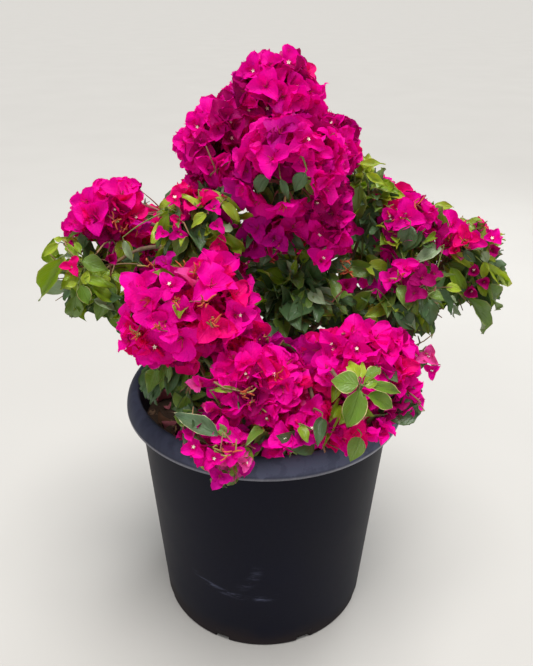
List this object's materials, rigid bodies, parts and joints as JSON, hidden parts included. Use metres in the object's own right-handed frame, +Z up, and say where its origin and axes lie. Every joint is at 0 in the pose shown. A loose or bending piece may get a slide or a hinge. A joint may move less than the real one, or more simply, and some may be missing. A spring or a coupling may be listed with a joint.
{
  "type": "potted bougainvillea bush",
  "caption": "Bushy flowering shrub with magenta bracts and green leaves on arching boughs, growing in a round black plastic nursery pot filled with soil.",
  "frame": {"origin": "centre of the pot's flat underside", "axes": "+Z up through the pot and the trunk, -Y towards the front of the bush, +X to its right as seen from the front"},
  "size_m": [0.7365, 0.5839, 0.9263],
  "materials": {
    "pot_plastic": "black moulded plastic, scuffed and a little dusty, with a soft sheen on the rim",
    "potting_soil": "dark brown potting mix of bark and fibre, with fallen dry bracts on it",
    "bark": "rough grey-brown bark, greener on the young wood",
    "bracts": "thin papery magenta bracts with fine veins",
    "leaves": "soft satin green leaves, paler and yellower when young"
  },
  "bodies": {
    "root": {"back_left_blooms": "bracts", "back_low_blooms": "bracts", "back_right_blooms": "bracts", "back_side_leaves": "leaves", "back_top_blooms": "bracts", "bough_to_back_left_blooms": "bark", "bough_to_back_low_blooms": "bark", "bough_to_back_right_blooms": "bark", "bough_to_back_side_leaves": "bark", "bough_to_back_top_blooms": "bark", "bough_to_front_drop_blooms": "bark", "bough_to_front_left_blooms": "bark", "bough_to_front_low_blooms": "bark", "bough_to_front_right_blooms": "bark", "bough_to_front_shoot_leaves": "bark", "bough_to_inner_blooms": "bark", "bough_to_inner_leaves": "bark", "bough_to_left_front_blooms": "bark", "bough_to_left_low_leaves": "bark", "bough_to_left_middle_leaves": "bark", "bough_to_left_outer_blooms": "bark", "bough_to_left_outer_leaves": "bark", "bough_to_low_right_leaves": "bark", "bough_to_right_column_blooms": "bark", "bough_to_right_lower_leaves": "bark", "bough_to_right_outer_leaves": "bark", "bough_to_right_sprig_leaves": "bark", "bough_to_right_upper_blooms": "bark", "bough_to_shoulder_left_blooms": "bark", "bough_to_shoulder_right_blooms": "bark", "bough_to_side_sprig_blooms": "bark", "bough_to_top_blooms": "bark", "bough_to_upper_front_blooms": "bark", "front_drop_blooms": "bracts", "front_left_blooms": "bracts", "front_low_blooms": "bracts", "front_right_blooms": "bracts", "front_shoot_leaves": "leaves", "inner_blooms": "bracts", "inner_leaves": "leaves", "left_front_blooms": "bracts", "left_low_leaves": "leaves", "left_middle_leaves": "leaves", "left_outer_blooms": "bracts", "left_outer_leaves": "leaves", "low_right_leaves": "leaves", "pot": "pot_plastic", "right_column_blooms": "bracts", "right_lower_leaves": "leaves", "right_outer_leaves": "leaves", "right_sprig_leaves": "leaves", "right_upper_blooms": "bracts", "shoulder_left_blooms": "bracts", "shoulder_right_blooms": "bracts", "side_sprig_blooms": "bracts", "soil": "potting_soil", "top_blooms": "bracts", "trunk": "bark", "upper_front_blooms": "bracts"}
  },
  "joints": []
}
